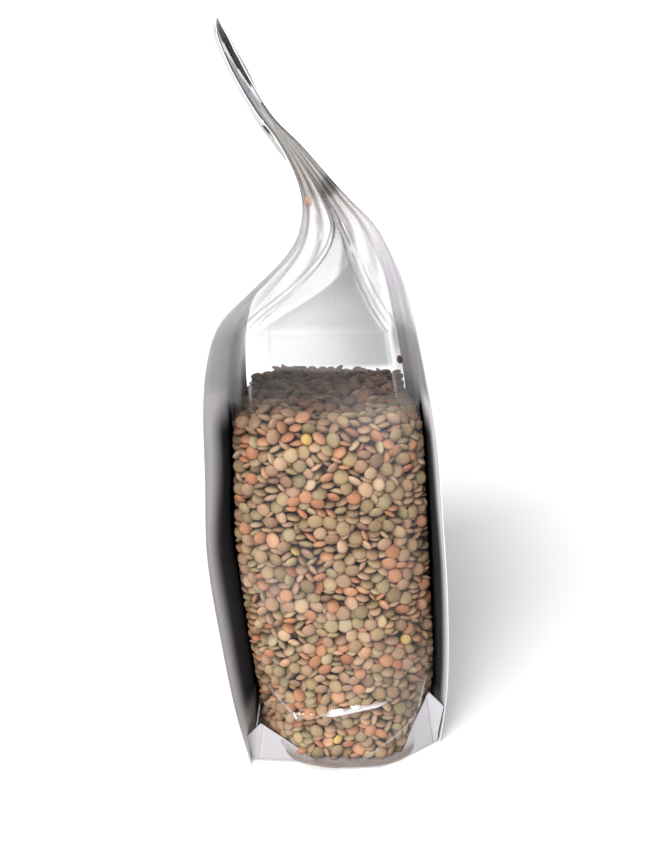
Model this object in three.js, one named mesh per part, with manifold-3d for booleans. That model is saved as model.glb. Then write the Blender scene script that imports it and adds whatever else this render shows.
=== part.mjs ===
// A filled, sealed bag of lentils that stands on its flat bottom. Two opaque panels close its front and
// back, and each narrow side is a clear gusset. The lentils fill the lower half. Above them the clear
// gussets fold inwards like a gable, and the panels close to a thin header that leans to the front.
//
// X runs through the bag from the front panel to the back panel, Y across its width and Z up.
// All sizes are in millimetres.

import * as THREE from 'three';
import { mergeVertices } from 'three/addons/utils/BufferGeometryUtils.js';
import Module from 'manifold-3d';

const wasm = await Module();
wasm.setup();

// Driving dimensions
const HALF_WIDTH = 50;
const HEIGHT = 286;
const PANEL_THICKNESS = 0.5;
const GAP = 0.35;
const WALL_GAP = 1.1;
const FILL_HEIGHT = 156;
const LENTIL_DIAMETER = 6.2;
const LENTIL_THICKNESS = 2.5;
const FIN_DEPTH = 12;
const BASE_THICKNESS = 0.8;
const FLAP_THICKNESS = 0.6;
const BAND_FOOT = 254;
const BAND_THICKNESS = 0.6;
const SHOULDER_HEIGHT = 189;
const APEX_HEIGHT = 226;
const FOLD_DEPTH = 29;
const FILM_FOOT = 161.5;
const FILM_TOP = 281;

// A smooth function through [height, value] pairs
function curveThrough(points) {
  const last = points.length - 1;
  const slope = (i) => {
    const a = points[Math.max(i - 1, 0)];
    const b = points[Math.min(i + 1, last)];
    return (b[1] - a[1]) / (b[0] - a[0]);
  };
  return (height) => {
    let i = 0;
    while (i < last - 1 && height > points[i + 1][0]) i += 1;
    const [z0, v0] = points[i];
    const [z1, v1] = points[i + 1];
    const span = z1 - z0;
    const t = Math.min(Math.max((height - z0) / span, 0), 1);
    const t2 = t * t;
    const t3 = t2 * t;
    return (2 * t3 - 3 * t2 + 1) * v0 + (t3 - 2 * t2 + t) * span * slope(i)
      + (3 * t2 - 2 * t3) * v1 + (t3 - t2) * span * slope(i + 1);
  };
}

function mix(a, b, t) {
  return a + (b - a) * t;
}

function smooth(from, to, value) {
  const t = Math.min(Math.max((value - from) / (to - from), 0), 1);
  return t * t * (3 - 2 * t);
}

// Random numbers from a seed, the same on every run
function seeded(seed) {
  let state = seed;
  return () => {
    state = (state * 1664525 + 1013904223) % 4294967296;
    return state / 4294967296;
  };
}

// The panels' upright edges, as [height, x]: belly, shoulder, neck and leaning header
const frontEdge = curveThrough([
  [0, -32.6], [29, -38.3], [60, -42.3], [101, -46.2], [135, -45.2], [166, -44], [184, -40.8], [194.5, -35.7],
  [204, -25.7], [214, -15], [221, -9.9], [229, -7.7], [236, -8.2], [243.4, -10.8], [251.8, -15.6],
  [259.3, -21.6], [269.5, -28], [276, -31.2], [281.7, -33.2], [HEIGHT, -33.1],
]);
const backEdge = curveThrough([
  [0, 52.6], [20, 52.9], [41, 52.4], [80, 49.5], [118, 45.2], [150, 41.2], [177, 35.5], [201, 29.2],
  [214.5, 23.6], [226, 16.6], [234, 8.2], [241, 1.3], [250, -7.2], [258.6, -16.4], [268, -22.8],
  [276, -27.2], [HEIGHT, -32.1],
]);

// How far the panel lies inside its edges, a fin's depth behind them, and how far its middle swells back out
const frontInset = curveThrough([[0, 0], [25, 6], [60, 7.5], [100, 8], [150, 7], [190, 4], [220, 1], [240, 0], [HEIGHT, 0]]);
const backInset = curveThrough([[0, 0], [25, 3], [60, 3.4], [100, 3], [150, 1.6], [190, 1], [220, 0.5], [240, 0], [HEIGHT, 0]]);
const swell = curveThrough([[0, 0], [30, 3], [80, 4.5], [130, 4], [170, 2], [205, 0], [HEIGHT, 0]]);

// The back panel's lower corners are rounded, so its upright edges step in near the floor
const backCorner = curveThrough([[0, 13], [20, 9], [41, 5], [80, 1.5], [115, 0.3], [150, 0.3], [HEIGHT, 0.3]]);

const FRONT = { side: -1, edge: frontEdge, inset: frontInset, corner: () => 0 };
const BACK = { side: 1, edge: backEdge, inset: backInset, corner: backCorner };

function panelHalfWidth(panel, height) {
  return HALF_WIDTH - panel.corner(height);
}

// The middle of the panel's thickness at a place across the bag and a height
function panelX(panel, y, height) {
  const inside = panelHalfWidth(panel, height) - Math.abs(y);
  const fin = smooth(0, FIN_DEPTH, inside);
  const belly = smooth(FIN_DEPTH, HALF_WIDTH, inside);
  return panel.edge(height) - panel.side * (panel.inset(height) * fin - swell(height) * belly);
}

// Where what the bag holds stops short of a panel, clear of the flats between the panel's facets
function innerX(panel, y, height) {
  return panelX(panel, y, height) - panel.side * (PANEL_THICKNESS / 2 + WALL_GAP);
}

// Collects vertices and triangles of a closed surface
class Surface {
  constructor() {
    this.points = [];
    this.faces = [];
  }

  add(x, y, z) {
    this.points.push(x, y, z);
    return this.points.length / 3 - 1;
  }

  // Fills the strip between two rows of {id, at}, walking along both by their place "at"
  zip(rowA, rowB) {
    let a = 0;
    let b = 0;
    while (a < rowA.length - 1 || b < rowB.length - 1) {
      const stepA = a < rowA.length - 1 ? rowA[a + 1].at : Infinity;
      const stepB = b < rowB.length - 1 ? rowB[b + 1].at : Infinity;
      if (stepA <= stepB) {
        this.faces.push(rowA[a].id, rowA[a + 1].id, rowB[b].id);
        a += 1;
      } else {
        this.faces.push(rowA[a].id, rowB[b + 1].id, rowB[b].id);
        b += 1;
      }
    }
  }

  geometry() {
    const geometry = new THREE.BufferGeometry();
    geometry.setAttribute('position', new THREE.Float32BufferAttribute(this.points, 3));
    geometry.setIndex(this.faces.filter((id, i, all) => {
      const start = i - (i % 3);
      const [a, b, c] = all.slice(start, start + 3);
      return a !== b && b !== c && a !== c;
    }));
    return facingOut(geometry);
  }
}

function signedVolume(geometry) {
  const place = geometry.attributes.position;
  const index = geometry.index;
  const corner = [new THREE.Vector3(), new THREE.Vector3(), new THREE.Vector3()];
  let volume = 0;
  for (let i = 0; i < index.count; i += 3) {
    corner.forEach((point, k) => point.fromBufferAttribute(place, index.getX(i + k)));
    volume += corner[0].dot(corner[1].cross(corner[2])) / 6;
  }
  return volume;
}

function facingOut(geometry) {
  if (signedVolume(geometry) < 0) geometry.index.array.reverse();
  return geometry;
}

// Between a three.js geometry and a solid that can be joined and cut
function toSolid(geometry) {
  const bare = geometry.clone();
  bare.deleteAttribute('normal');
  bare.deleteAttribute('uv');
  const merged = mergeVertices(bare, 1e-4);
  return new wasm.Manifold(new wasm.Mesh({
    numProp: 3,
    vertProperties: new Float32Array(merged.attributes.position.array),
    triVerts: new Uint32Array(merged.index.array),
  }));
}

function toGeometry(solid) {
  const mesh = solid.getMesh();
  const geometry = new THREE.BufferGeometry();
  geometry.setAttribute('position', new THREE.BufferAttribute(new Float32Array(mesh.vertProperties), 3));
  geometry.setIndex(new THREE.BufferAttribute(new Uint32Array(mesh.triVerts), 1));
  return geometry;
}

// A thin sheet: two like faces a thickness apart along X, closed round the rim
function sheet(rows, columns, middle, thickness) {
  const surface = new Surface();
  const faces = [-1, 1].map((side) => {
    const grid = [];
    for (let row = 0; row <= rows; row += 1) {
      grid.push([]);
      for (let column = 0; column <= columns; column += 1) {
        const [x, y, z] = middle(row / rows, column / columns);
        grid[row].push(surface.add(x + side * thickness / 2, y, z));
      }
    }
    return grid;
  });
  const quad = (a, b, c, d) => surface.faces.push(a, b, c, a, c, d);
  const [left, right] = faces;
  for (let row = 0; row < rows; row += 1) {
    for (let column = 0; column < columns; column += 1) {
      quad(left[row][column], left[row][column + 1], left[row + 1][column + 1], left[row + 1][column]);
      quad(right[row][column], right[row + 1][column], right[row + 1][column + 1], right[row][column + 1]);
    }
    quad(left[row + 1][0], right[row + 1][0], right[row][0], left[row][0]);
    quad(left[row][columns], right[row][columns], right[row + 1][columns], left[row + 1][columns]);
  }
  for (let column = 0; column < columns; column += 1) {
    quad(left[0][column], right[0][column], right[0][column + 1], left[0][column + 1]);
    quad(left[rows][column + 1], right[rows][column + 1], right[rows][column], left[rows][column]);
  }
  return facingOut(surface.geometry());
}

// An opaque panel from the floor to the header's cut edge
function makePanel(panel) {
  const rows = 28;
  const columns = 6;
  // Columns crowd towards the fins, where the panel bends most
  const across = (t) => Math.sin((t - 0.5) * Math.PI);
  return sheet(rows, columns, (up, along) => {
    const height = HEIGHT * up;
    const y = panelHalfWidth(panel, height) * across(along);
    return [panelX(panel, y, height), y, height];
  }, PANEL_THICKNESS);
}

// The stiff band along the outside of the front panel's header
function makeBand() {
  const rows = 12;
  const columns = 2;
  const outside = (PANEL_THICKNESS + BAND_THICKNESS) / 2 + GAP;
  return sheet(rows, columns, (up, along) => {
    const height = mix(BAND_FOOT, HEIGHT - 2, up);
    const y = mix(-HALF_WIDTH, HALF_WIDTH, along);
    return [panelX(FRONT, y, height) - outside, y, height];
  }, BAND_THICKNESS);
}

// The base's outline on the floor: one side of the bag, from the front panel to the back panel
const BASE_OUTLINE = [[-31.8, 47.5], [-5.7, 49], [8.7, 52.5], [24, 51.5], [33, 48], [51.7, 36.6]];

// Each side of the base has two corner flaps that are turned up: the raised tip and the two floor corners
const FLAPS = [
  { tip: [-28.5, 42, 15], outer: [-31.6, 47, 0.3], inner: [-3, 48.7, 0.3] },
  { tip: [46, 39, 29], outer: [51.3, 36.5, 0.3], inner: [33, 47.6, 0.3] },
];

// A flap, or the space in front of it, as a prism on the flap's triangle
function flapPrism(flap, side, from, to) {
  const [tip, outer, inner] = [flap.tip, flap.outer, flap.inner].map(([x, y, z]) => new THREE.Vector3(x, side * y, z));
  const normal = new THREE.Vector3().crossVectors(outer.clone().sub(tip), inner.clone().sub(tip)).normalize();
  if (normal.y * side < 0) normal.negate();
  const corners = [tip, outer, inner];
  const surface = new Surface();
  const near = corners.map((p) => surface.add(...p.clone().addScaledVector(normal, from).toArray()));
  const far = corners.map((p) => surface.add(...p.clone().addScaledVector(normal, to).toArray()));
  surface.faces.push(near[0], near[1], near[2], far[2], far[1], far[0]);
  for (let i = 0; i < 3; i += 1) {
    const j = (i + 1) % 3;
    surface.faces.push(near[j], near[i], far[i], near[j], far[i], far[j]);
  }
  return toSolid(surface.geometry());
}

function makeBase() {
  const outline = [...BASE_OUTLINE.map(([x, y]) => [x, -y]), ...[...BASE_OUTLINE].reverse()];
  const shape = new THREE.Shape(outline.map(([x, y]) => new THREE.Vector2(x, y)));
  let base = toSolid(new THREE.ExtrudeGeometry(shape, { depth: BASE_THICKNESS, bevelEnabled: false }));
  const floor = new THREE.BoxGeometry(4 * HALF_WIDTH, 4 * HALF_WIDTH, HALF_WIDTH).translate(0, 0, -HALF_WIDTH / 2);
  for (const side of [-1, 1]) {
    for (const flap of FLAPS) base = base.add(flapPrism(flap, side, -FLAP_THICKNESS, 0));
  }
  return toGeometry(base.subtract(toSolid(floor)));
}

// The lentils' face towards a clear side: its depth at the middle, and how the corners fall back
const fillDepth = curveThrough([[0, 47], [4, 50.5], [10, 51.4], [35, 49.8], [80, 48.4], [125, 48.6], [148, 48], [FILL_HEIGHT, 45.5]]);
const cornerFall = curveThrough([[0, 0.5], [12, 0.42], [35, 0.28], [60, 0.23], [FILL_HEIGHT, 0.22]]);

function fillY(across, height) {
  return fillDepth(height) * (1 - cornerFall(height) * Math.abs(across) ** 3.4);
}

// The heap of lentils: one skin that runs up one clear side, over the top and down the other, bumpy all
// over with bumps of a lentil's size on a honeycomb grid, and plain where the panels press on it
function makeFill() {
  const random = seeded(20);
  const surface = new Surface();
  const rowStep = 0.56 * LENTIL_DIAMETER;
  const columns = 20;
  const foot = BASE_THICKNESS + GAP;
  const sideRows = Math.round((FILL_HEIGHT - foot) / rowStep);
  const topRows = Math.round(2 * fillDepth(FILL_HEIGHT) / rowStep);
  const sideStops = [-20, 0, 20];

  // A bump's middle stands out and its corners lie deep: one point in three is a middle
  const relief = (row, column) => {
    const shift = row % 2 ? 1 : 0;
    const isMiddle = (column * 2 + shift + row * 3) % 6 < 2;
    return (isMiddle ? 1.4 : -1.1) + (random() - 0.5) * 0.8;
  };
  const places = (row) => {
    const list = [];
    const shift = row % 2 ? 0.5 : 0;
    for (let column = 0; column + shift <= columns; column += 1) {
      list.push({ column, at: -1 + 2 * (column + shift) / columns });
    }
    if (shift) {
      list.unshift({ column: -1, at: -1 });
      list.push({ column: columns + 1, at: 1 });
    }
    return list;
  };
  const jitter = () => (random() - 0.5) * 1.3;

  const clearSide = (side) => {
    const rows = [];
    for (let row = 0; row <= sideRows; row += 1) {
      const height = mix(foot, FILL_HEIGHT - 3, row / sideRows);
      rows.push(places(row).map(({ column, at }) => {
        const isEnd = Math.abs(at) === 1;
        const free = !isEnd && row > 0 && row < sideRows;
        const depth = fillY(at, height) + (isEnd ? 0 : relief(row, column));
        const left = innerX(FRONT, fillY(-1, height), height);
        const right = innerX(BACK, fillY(1, height), height);
        const x = mix(left, right, (at + 1) / 2) + (free ? jitter() : 0);
        return { id: surface.add(x, side * depth, height + (free ? jitter() : 0)), at };
      }));
    }
    return rows;
  };
  const near = clearSide(-1);
  const far = clearSide(1);

  const top = [near[sideRows]];
  const topPlaces = [{ id: near[sideRows], at: -fillY(1, FILL_HEIGHT - 3) }];
  for (let row = 1; row < topRows; row += 1) {
    const place = mix(-1, 1, row / topRows);
    const dome = 2.4 * (1 - place ** 4);
    top.push(places(sideRows + row).map(({ column, at }) => {
      const isEnd = Math.abs(at) === 1;
      const y = place * fillY(at, FILL_HEIGHT) + (isEnd ? 0 : jitter());
      const height = FILL_HEIGHT - 1.6 + dome - 1.2 * at ** 4 + (isEnd ? 0 : relief(sideRows + row, column) * 1.1);
      const x = mix(innerX(FRONT, y, height), innerX(BACK, y, height), (at + 1) / 2) + (isEnd ? 0 : jitter());
      return { id: surface.add(x, y, height), at };
    }));
    topPlaces.push({ at: place * fillY(1, FILL_HEIGHT) });
  }
  top.push(far[sideRows]);
  topPlaces.push({ at: fillY(1, FILL_HEIGHT - 3) });

  for (let row = 0; row < sideRows; row += 1) {
    surface.zip(near[row], near[row + 1]);
    surface.zip(far[row + 1], far[row]);
  }
  for (let row = 0; row < topRows; row += 1) surface.zip(top[row], top[row + 1]);

  // The two walls along the panels, closed to the clear sides, the top and the bottom
  const wall = (panel) => {
    const end = (row) => (panel === FRONT ? row[0] : row[row.length - 1]);
    const rows = [];
    for (let row = 0; row <= sideRows; row += 1) {
      const height = mix(foot, FILL_HEIGHT - 3, row / sideRows);
      rows.push([
        { id: end(near[row]).id, at: -fillY(1, height) },
        ...sideStops.map((y) => ({ id: surface.add(innerX(panel, y, height), y, height), at: y })),
        { id: end(far[row]).id, at: fillY(1, height) },
      ]);
    }
    const rim = top.map((row, i) => ({ id: end(row).id, at: topPlaces[i].at }));
    const bands = [...rows, rim];
    for (let i = 0; i < bands.length - 1; i += 1) {
      if (panel === FRONT) surface.zip(bands[i + 1], bands[i]);
      else surface.zip(bands[i], bands[i + 1]);
    }
    return rows[0];
  };
  const frontFoot = wall(FRONT);
  const backFoot = wall(BACK);

  const floorRows = [near[0]];
  sideStops.forEach((y, i) => {
    floorRows.push([{ id: frontFoot[i + 1].id, at: -1 }, { id: backFoot[i + 1].id, at: 1 }]);
  });
  floorRows.push(far[0]);
  for (let i = 0; i < floorRows.length - 1; i += 1) surface.zip(floorRows[i + 1], floorRows[i]);
  return surface.geometry();
}

// One lentil: a round lens with a blunt rim, few-sided
function lentilGeometry(diameter) {
  const sides = 6;
  const scale = diameter / LENTIL_DIAMETER;
  const half = LENTIL_THICKNESS * scale / 2;
  const profile = [[0, -half], [diameter * 0.31, -half * 0.72], [diameter / 2, 0], [diameter * 0.31, half * 0.72], [0, half]];
  return new THREE.LatheGeometry(profile.map(([r, z]) => new THREE.Vector2(r, z)), sides);
}

function placedLentil(diameter, place, facing, turn) {
  const upright = new THREE.Quaternion().setFromUnitVectors(new THREE.Vector3(0, 1, 0), facing.clone().normalize());
  const spin = new THREE.Quaternion().setFromAxisAngle(new THREE.Vector3(0, 1, 0), turn);
  const matrix = new THREE.Matrix4().compose(place, upright.multiply(spin), new THREE.Vector3(1, 1, 1));
  return toSolid(facingOut(mergeVertices(bareOf(lentilGeometry(diameter)), 1e-4)).applyMatrix4(matrix));
}

function bareOf(geometry) {
  geometry.deleteAttribute('normal');
  geometry.deleteAttribute('uv');
  return geometry;
}

// Whole lentils that stand out of the heap, spread evenly by a seeded rule over both sides and the top
function looseLentils() {
  const random = seeded(7);
  const lentils = [];
  const tilt = (amount) => (random() - 0.5) * amount;
  const size = () => LENTIL_DIAMETER * mix(0.96, 1.12, random());
  const sideRows = 6;
  const sideColumns = 4;
  for (const side of [-1, 1]) {
    for (let row = 0; row < sideRows; row += 1) {
      for (let column = 0; column < sideColumns; column += 1) {
        const across = mix(-0.8, 0.74, (column + 0.25 + 0.5 * (row % 2)) / sideColumns) + tilt(0.08);
        const height = mix(14, FILL_HEIGHT - 10, (row + 0.5) / sideRows) + tilt(8);
        const depth = fillY(across, height) + 0.5;
        const x = mix(innerX(FRONT, depth - FIN_DEPTH, height), innerX(BACK, depth - FIN_DEPTH, height), (across + 1) / 2);
        const facing = new THREE.Vector3(tilt(0.7), side, tilt(0.7));
        lentils.push(placedLentil(size(), new THREE.Vector3(x, side * depth, height), facing, random() * 6));
      }
    }
  }
  const topRows = 3;
  for (let row = 0; row < topRows; row += 1) {
    for (let column = 0; column < sideColumns; column += 1) {
      const across = mix(-0.8, 0.8, (column + 0.25 + 0.5 * (row % 2)) / sideColumns) + tilt(0.1);
      const y = mix(-0.84, 0.84, row / (topRows - 1)) * fillY(across, FILL_HEIGHT);
      const height = FILL_HEIGHT + 1.2;
      const x = mix(innerX(FRONT, y, height), innerX(BACK, y, height), (across + 1) / 2);
      lentils.push(placedLentil(size(), new THREE.Vector3(x, y, height), new THREE.Vector3(tilt(1.2), tilt(1.2), 1), random() * 6));
    }
  }
  return lentils;
}

function makeLentils() {
  let heap = toSolid(makeFill());
  for (const lentil of looseLentils()) heap = heap.add(lentil);
  const clearance = FLAP_THICKNESS + GAP;
  for (const side of [-1, 1]) {
    for (const flap of FLAPS) heap = heap.subtract(flapPrism(flap, side, -clearance, 3 * FIN_DEPTH));
  }
  return toGeometry(largestPart(heap));
}

function largestPart(solid) {
  return solid.decompose().reduce((best, part) => (part.volume() > best.volume() ? part : best));
}

// The clear film above the fill, as a closed solid: full below the shoulder, folded in on both sides like
// a gable up to the apex, then squeezed between the panels, and drawn back from the open ends at the top
const filmDepth = curveThrough([[FILM_FOOT, 47.5], [SHOULDER_HEIGHT, 47.5], [APEX_HEIGHT, 48.5], [264, 49], [270, 44], [276, 30], [FILM_TOP, 16]]);
const filmCorner = curveThrough([[FILM_FOOT, 0.22], [SHOULDER_HEIGHT, 0.16], [APEX_HEIGHT, 0.03], [FILM_TOP, 0.03]]);
const FOLD_SPAN = 0.76;

function makeFilm() {
  const surface = new Surface();
  const levels = [FILM_FOOT, 170, 180, SHOULDER_HEIGHT, 194, 199, 204, 209, 214, 219, 223, APEX_HEIGHT,
    231, 237, 244, 251, 258, 264, 270, 276, FILM_TOP];
  const stops = [-1, -0.9, -0.8, -0.72, -0.45, -0.15, 0.15, 0.45, 0.72, 0.8, 0.9, 1];
  const wallStops = [-0.6, -0.2, 0.2, 0.6];
  const sections = levels.map((height) => {
    const folded = Math.min(Math.max((height - SHOULDER_HEIGHT) / (APEX_HEIGHT - SHOULDER_HEIGHT), 0), 1);
    const open = height < APEX_HEIGHT ? FOLD_SPAN * (1 - folded) : 0;
    const groove = height < APEX_HEIGHT ? FOLD_DEPTH * folded : 0;
    const creaseWidth = mix(0.12, 0.02, folded);
    const depthAt = (at) => {
      const outer = filmDepth(height) * (1 - filmCorner(height) * Math.abs(at) ** 4);
      return outer - groove * smooth(open + creaseWidth, open, Math.abs(at));
    };
    // The stops slide with the fold, so that its creases stay sharp
    const squeeze = (at) => {
      if (groove === 0) return at;
      const edge = 0.72;
      const size = Math.abs(at);
      const moved = size <= edge ? size / edge * open : mix(open, 1, (size - edge) / (1 - edge));
      return Math.sign(at) * moved;
    };
    const ends = depthAt(1);
    const ring = [];
    const put = (at, y) => {
      const x = mix(innerX(FRONT, y, height), innerX(BACK, y, height), (at + 1) / 2);
      ring.push(surface.add(x, y, height));
    };
    stops.forEach((at) => put(squeeze(at), -depthAt(squeeze(at))));
    wallStops.forEach((t) => put(1, t * ends));
    [...stops].reverse().forEach((at) => put(squeeze(at), depthAt(squeeze(at))));
    [...wallStops].reverse().forEach((t) => put(-1, t * ends));
    return ring;
  });
  const count = sections[0].length;
  for (let level = 0; level < sections.length - 1; level += 1) {
    for (let i = 0; i < count; i += 1) {
      const j = (i + 1) % count;
      const [a, b] = [sections[level], sections[level + 1]];
      surface.faces.push(a[i], a[j], b[j], a[i], b[j], b[i]);
    }
  }
  // Each end is closed by a strip from the one clear side to the other
  const half = count / 2;
  const cap = (ring, flip) => {
    const other = ring.slice(half).reverse();
    for (let i = 0; i < half - 1; i += 1) {
      const quad = [ring[i], ring[i + 1], other[i + 1], other[i]];
      if (flip) quad.reverse();
      surface.faces.push(quad[0], quad[1], quad[2], quad[0], quad[2], quad[3]);
    }
  };
  cap(sections[0], true);
  cap(sections[sections.length - 1], false);
  return surface.geometry();
}

// Lentils that have strayed into the film: in the neck and on the clear side above the fill
const STRAYS = [
  { place: [-4.6, -48.2, 233.5], facing: [-0.5, -0.8, 0.2] },
  { place: [27.5, -44.2, 177], facing: [0.3, -1, 0.1] },
];

function makeFilmWithStrays() {
  let film = toSolid(makeFilm());
  for (const { place, facing } of STRAYS) {
    film = film.add(placedLentil(LENTIL_DIAMETER * 0.8, new THREE.Vector3(...place), new THREE.Vector3(...facing), 0));
  }
  return toGeometry(film);
}

const MATERIALS = {
  panel: { color: 0xf2f2f1, roughness: 0.45, metalness: 0 },
  base: { color: 0xeeeeed, roughness: 0.5, metalness: 0 },
  band: { color: 0xe2e2e2, roughness: 0.4, metalness: 0 },
  lentil: { color: 0xa68a66, roughness: 0.6, metalness: 0 },
  film: { color: 0xe9eaee, roughness: 0.1, metalness: 0 },
};

function piece(name, geometry, material) {
  const mesh = new THREE.Mesh(geometry, new THREE.MeshStandardMaterial(MATERIALS[material]));
  mesh.name = name;
  return mesh;
}

// Stands the bag with the middle of its box over the origin, on the floor
function centred(group) {
  const box = new THREE.Box3().setFromObject(group, true);
  group.position.set(-(box.min.x + box.max.x) / 2, -(box.min.y + box.max.y) / 2, -box.min.z);
  return group;
}

const bag = new THREE.Group();
bag.add(piece('front_panel', makePanel(FRONT), 'panel'));
bag.add(piece('back_panel', makePanel(BACK), 'panel'));
bag.add(piece('bottom_panel', makeBase(), 'base'));
bag.add(piece('header_band', makeBand(), 'band'));
bag.add(piece('lentils', makeLentils(), 'lentil'));
bag.add(piece('clear_gussets', makeFilmWithStrays(), 'film'));

export default centred(bag);
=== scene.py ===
import math

import bpy
import numpy as np
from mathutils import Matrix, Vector, kdtree, noise


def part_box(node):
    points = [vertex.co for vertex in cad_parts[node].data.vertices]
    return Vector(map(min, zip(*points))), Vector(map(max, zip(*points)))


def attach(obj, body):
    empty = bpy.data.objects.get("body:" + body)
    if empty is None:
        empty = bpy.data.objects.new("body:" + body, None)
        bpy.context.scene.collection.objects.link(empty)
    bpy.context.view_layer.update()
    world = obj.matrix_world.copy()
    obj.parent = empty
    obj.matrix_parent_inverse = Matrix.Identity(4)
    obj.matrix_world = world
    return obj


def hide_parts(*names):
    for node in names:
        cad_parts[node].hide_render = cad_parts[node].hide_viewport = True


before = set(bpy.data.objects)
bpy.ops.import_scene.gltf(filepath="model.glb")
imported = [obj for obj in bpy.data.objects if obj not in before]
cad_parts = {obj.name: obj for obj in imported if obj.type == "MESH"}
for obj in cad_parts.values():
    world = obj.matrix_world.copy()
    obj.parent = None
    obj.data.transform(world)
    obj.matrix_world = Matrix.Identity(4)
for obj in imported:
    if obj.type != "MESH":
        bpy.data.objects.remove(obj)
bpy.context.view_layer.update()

# The two opaque panels
# Each is one sheet of white film, welded to the clear gussets along its upright edges.
# They bulge over the fill, bend in at the shoulder, and close to a thin header that leans to the front.

MM = 0.001
HALF_WIDTH = 50.0
HEIGHT = 286.0
PANEL_FILM = 0.3
FIN_DEPTH = 12.0
FIN_TURN = (3.0, 19.0)
SHOULDER_HEIGHT = 189.0
APEX_HEIGHT = 226.0
BASE_REACH = 51.7

# The bag is drawn from the middle of its base, and the frame's origin is under the middle of its box
bag_shift = Vector((
    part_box("bottom_panel")[1].x - BASE_REACH * MM,
    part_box("front_panel")[1].y - HALF_WIDTH * MM,
    0.0,
))


def mix(a, b, t):
    return a + (b - a) * t


def smooth(start, end, value):
    t = min(max((value - start) / (end - start), 0.0), 1.0)
    return t * t * (3.0 - 2.0 * t)


def bell(distance, width):
    """1 at no distance, falling to almost nothing at twice the width."""
    return math.exp(-(distance / width) ** 2)


def curve_through(*points):
    """A smooth function of height through (height, value) pairs, from a fine table of its values."""
    last = len(points) - 1

    def slope(i):
        before, after = points[max(i - 1, 0)], points[min(i + 1, last)]
        return (after[1] - before[1]) / (after[0] - before[0])

    heights, values = [], []
    for i in range(last):
        (z0, v0), (z1, v1) = points[i], points[i + 1]
        span = z1 - z0
        for step in range(24):
            t = step / 24
            heights.append(z0 + span * t)
            values.append(
                (2 * t**3 - 3 * t**2 + 1) * v0 + (t**3 - 2 * t**2 + t) * span * slope(i)
                + (3 * t**2 - 2 * t**3) * v1 + (t**3 - t**2) * span * slope(i + 1)
            )
    heights.append(points[last][0])
    values.append(points[last][1])
    steps_per_mm = 8
    fine = np.interp(np.arange(HEIGHT * steps_per_mm + 2) / steps_per_mm, heights, values).tolist()

    def value_at(height):
        if isinstance(height, np.ndarray):
            return np.interp(height, heights, values)
        place = min(max(height, 0.0), HEIGHT) * steps_per_mm
        below = int(place)
        return fine[below] + (place - below) * (fine[below + 1] - fine[below])

    return value_at


# The panels' upright edges, as (height, place from front to back): belly, shoulder, neck and header
front_edge = curve_through(
    (0, -32.6), (29, -38.3), (60, -42.3), (101, -46.2), (135, -45.2), (166, -44), (184, -40.8),
    (194.5, -35.7), (204, -25.7), (214, -15), (221, -9.9), (229, -7.7), (236, -8.2), (243.4, -10.8),
    (251.8, -15.6), (259.3, -21.6), (269.5, -28), (276, -31.2), (281.7, -33.2), (HEIGHT, -33.1),
)
back_edge = curve_through(
    (0, 52.6), (20, 52.9), (41, 52.4), (80, 49.5), (118, 45.2), (150, 41.2), (177, 35.5), (201, 29.2),
    (214.5, 23.6), (226, 16.6), (234, 8.2), (241, 1.3), (250, -7.2), (258.6, -16.4), (268, -22.8),
    (276, -27.2), (HEIGHT, -32.1),
)
front_inset = curve_through(
    (0, 0), (25, 6), (60, 7.5), (100, 8), (150, 7), (190, 4), (220, 1), (240, 0), (HEIGHT, 0),
)
back_inset = curve_through(
    (0, 0), (25, 3), (60, 3.4), (100, 3), (150, 1.6), (190, 1), (220, 0.5), (240, 0), (HEIGHT, 0),
)
swell = curve_through((0, 0), (30, 3), (80, 4.5), (130, 4), (170, 2), (205, 0), (HEIGHT, 0))
back_corner = curve_through((0, 13), (20, 9), (41, 5), (80, 1.5), (115, 0.3), (150, 0.3), (HEIGHT, 0.3))

FRONT, BACK = -1, 1


def panel_half_width(panel, height):
    return HALF_WIDTH - (back_corner(height) if panel == BACK else 0.0)


def panel_x(panel, y, height, turn=FIN_TURN):
    """The middle of the panel's thickness. Behind its straight fin it turns in, over the turn's span."""
    edge, inset = (back_edge, back_inset) if panel == BACK else (front_edge, front_inset)
    inside = panel_half_width(panel, height) - abs(y)
    fin = smooth(*turn, inside)
    belly = smooth(FIN_DEPTH, HALF_WIDTH, inside)
    return edge(height) - panel * (inset(height) * fin - swell(height) * belly)


def bag_point(x, y, height):
    """A place in the bag's millimetres as a point in the frame."""
    return Vector((x, y, height)) * MM + bag_shift


def only(obj):
    bpy.ops.object.select_all(action="DESELECT")
    obj.select_set(True)
    bpy.context.view_layer.objects.active = obj


def formed_sheet(name, columns, rows, form):
    """A fine grid whose points are moved to form(across, up), with across and up from 0 to 1."""
    bpy.ops.object.select_all(action="DESELECT")
    bpy.ops.mesh.primitive_grid_add(x_subdivisions=columns, y_subdivisions=rows, size=2)
    sheet = bpy.context.active_object
    sheet.name = sheet.data.name = name
    for vertex in sheet.data.vertices:
        vertex.co = bag_point(*form((vertex.co.x + 1) / 2, (vertex.co.y + 1) / 2))
    return sheet


def thicken(sheet, thickness):
    """Gives a sheet its thickness, half to each side."""
    only(sheet)
    wall = sheet.modifiers.new("thickness", "SOLIDIFY")
    wall.thickness = thickness * MM
    wall.offset = 0
    bpy.ops.object.modifier_apply(modifier=wall.name)
    face_outwards(sheet)


def edit_all(operation, **options):
    """Runs a mesh operation on the whole of the active piece."""
    bpy.ops.object.mode_set(mode="EDIT")
    bpy.ops.mesh.select_all(action="SELECT")
    operation(**options)
    bpy.ops.object.mode_set(mode="OBJECT")


def face_outwards(piece):
    only(piece)
    edit_all(bpy.ops.mesh.normals_make_consistent, inside=False)


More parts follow.
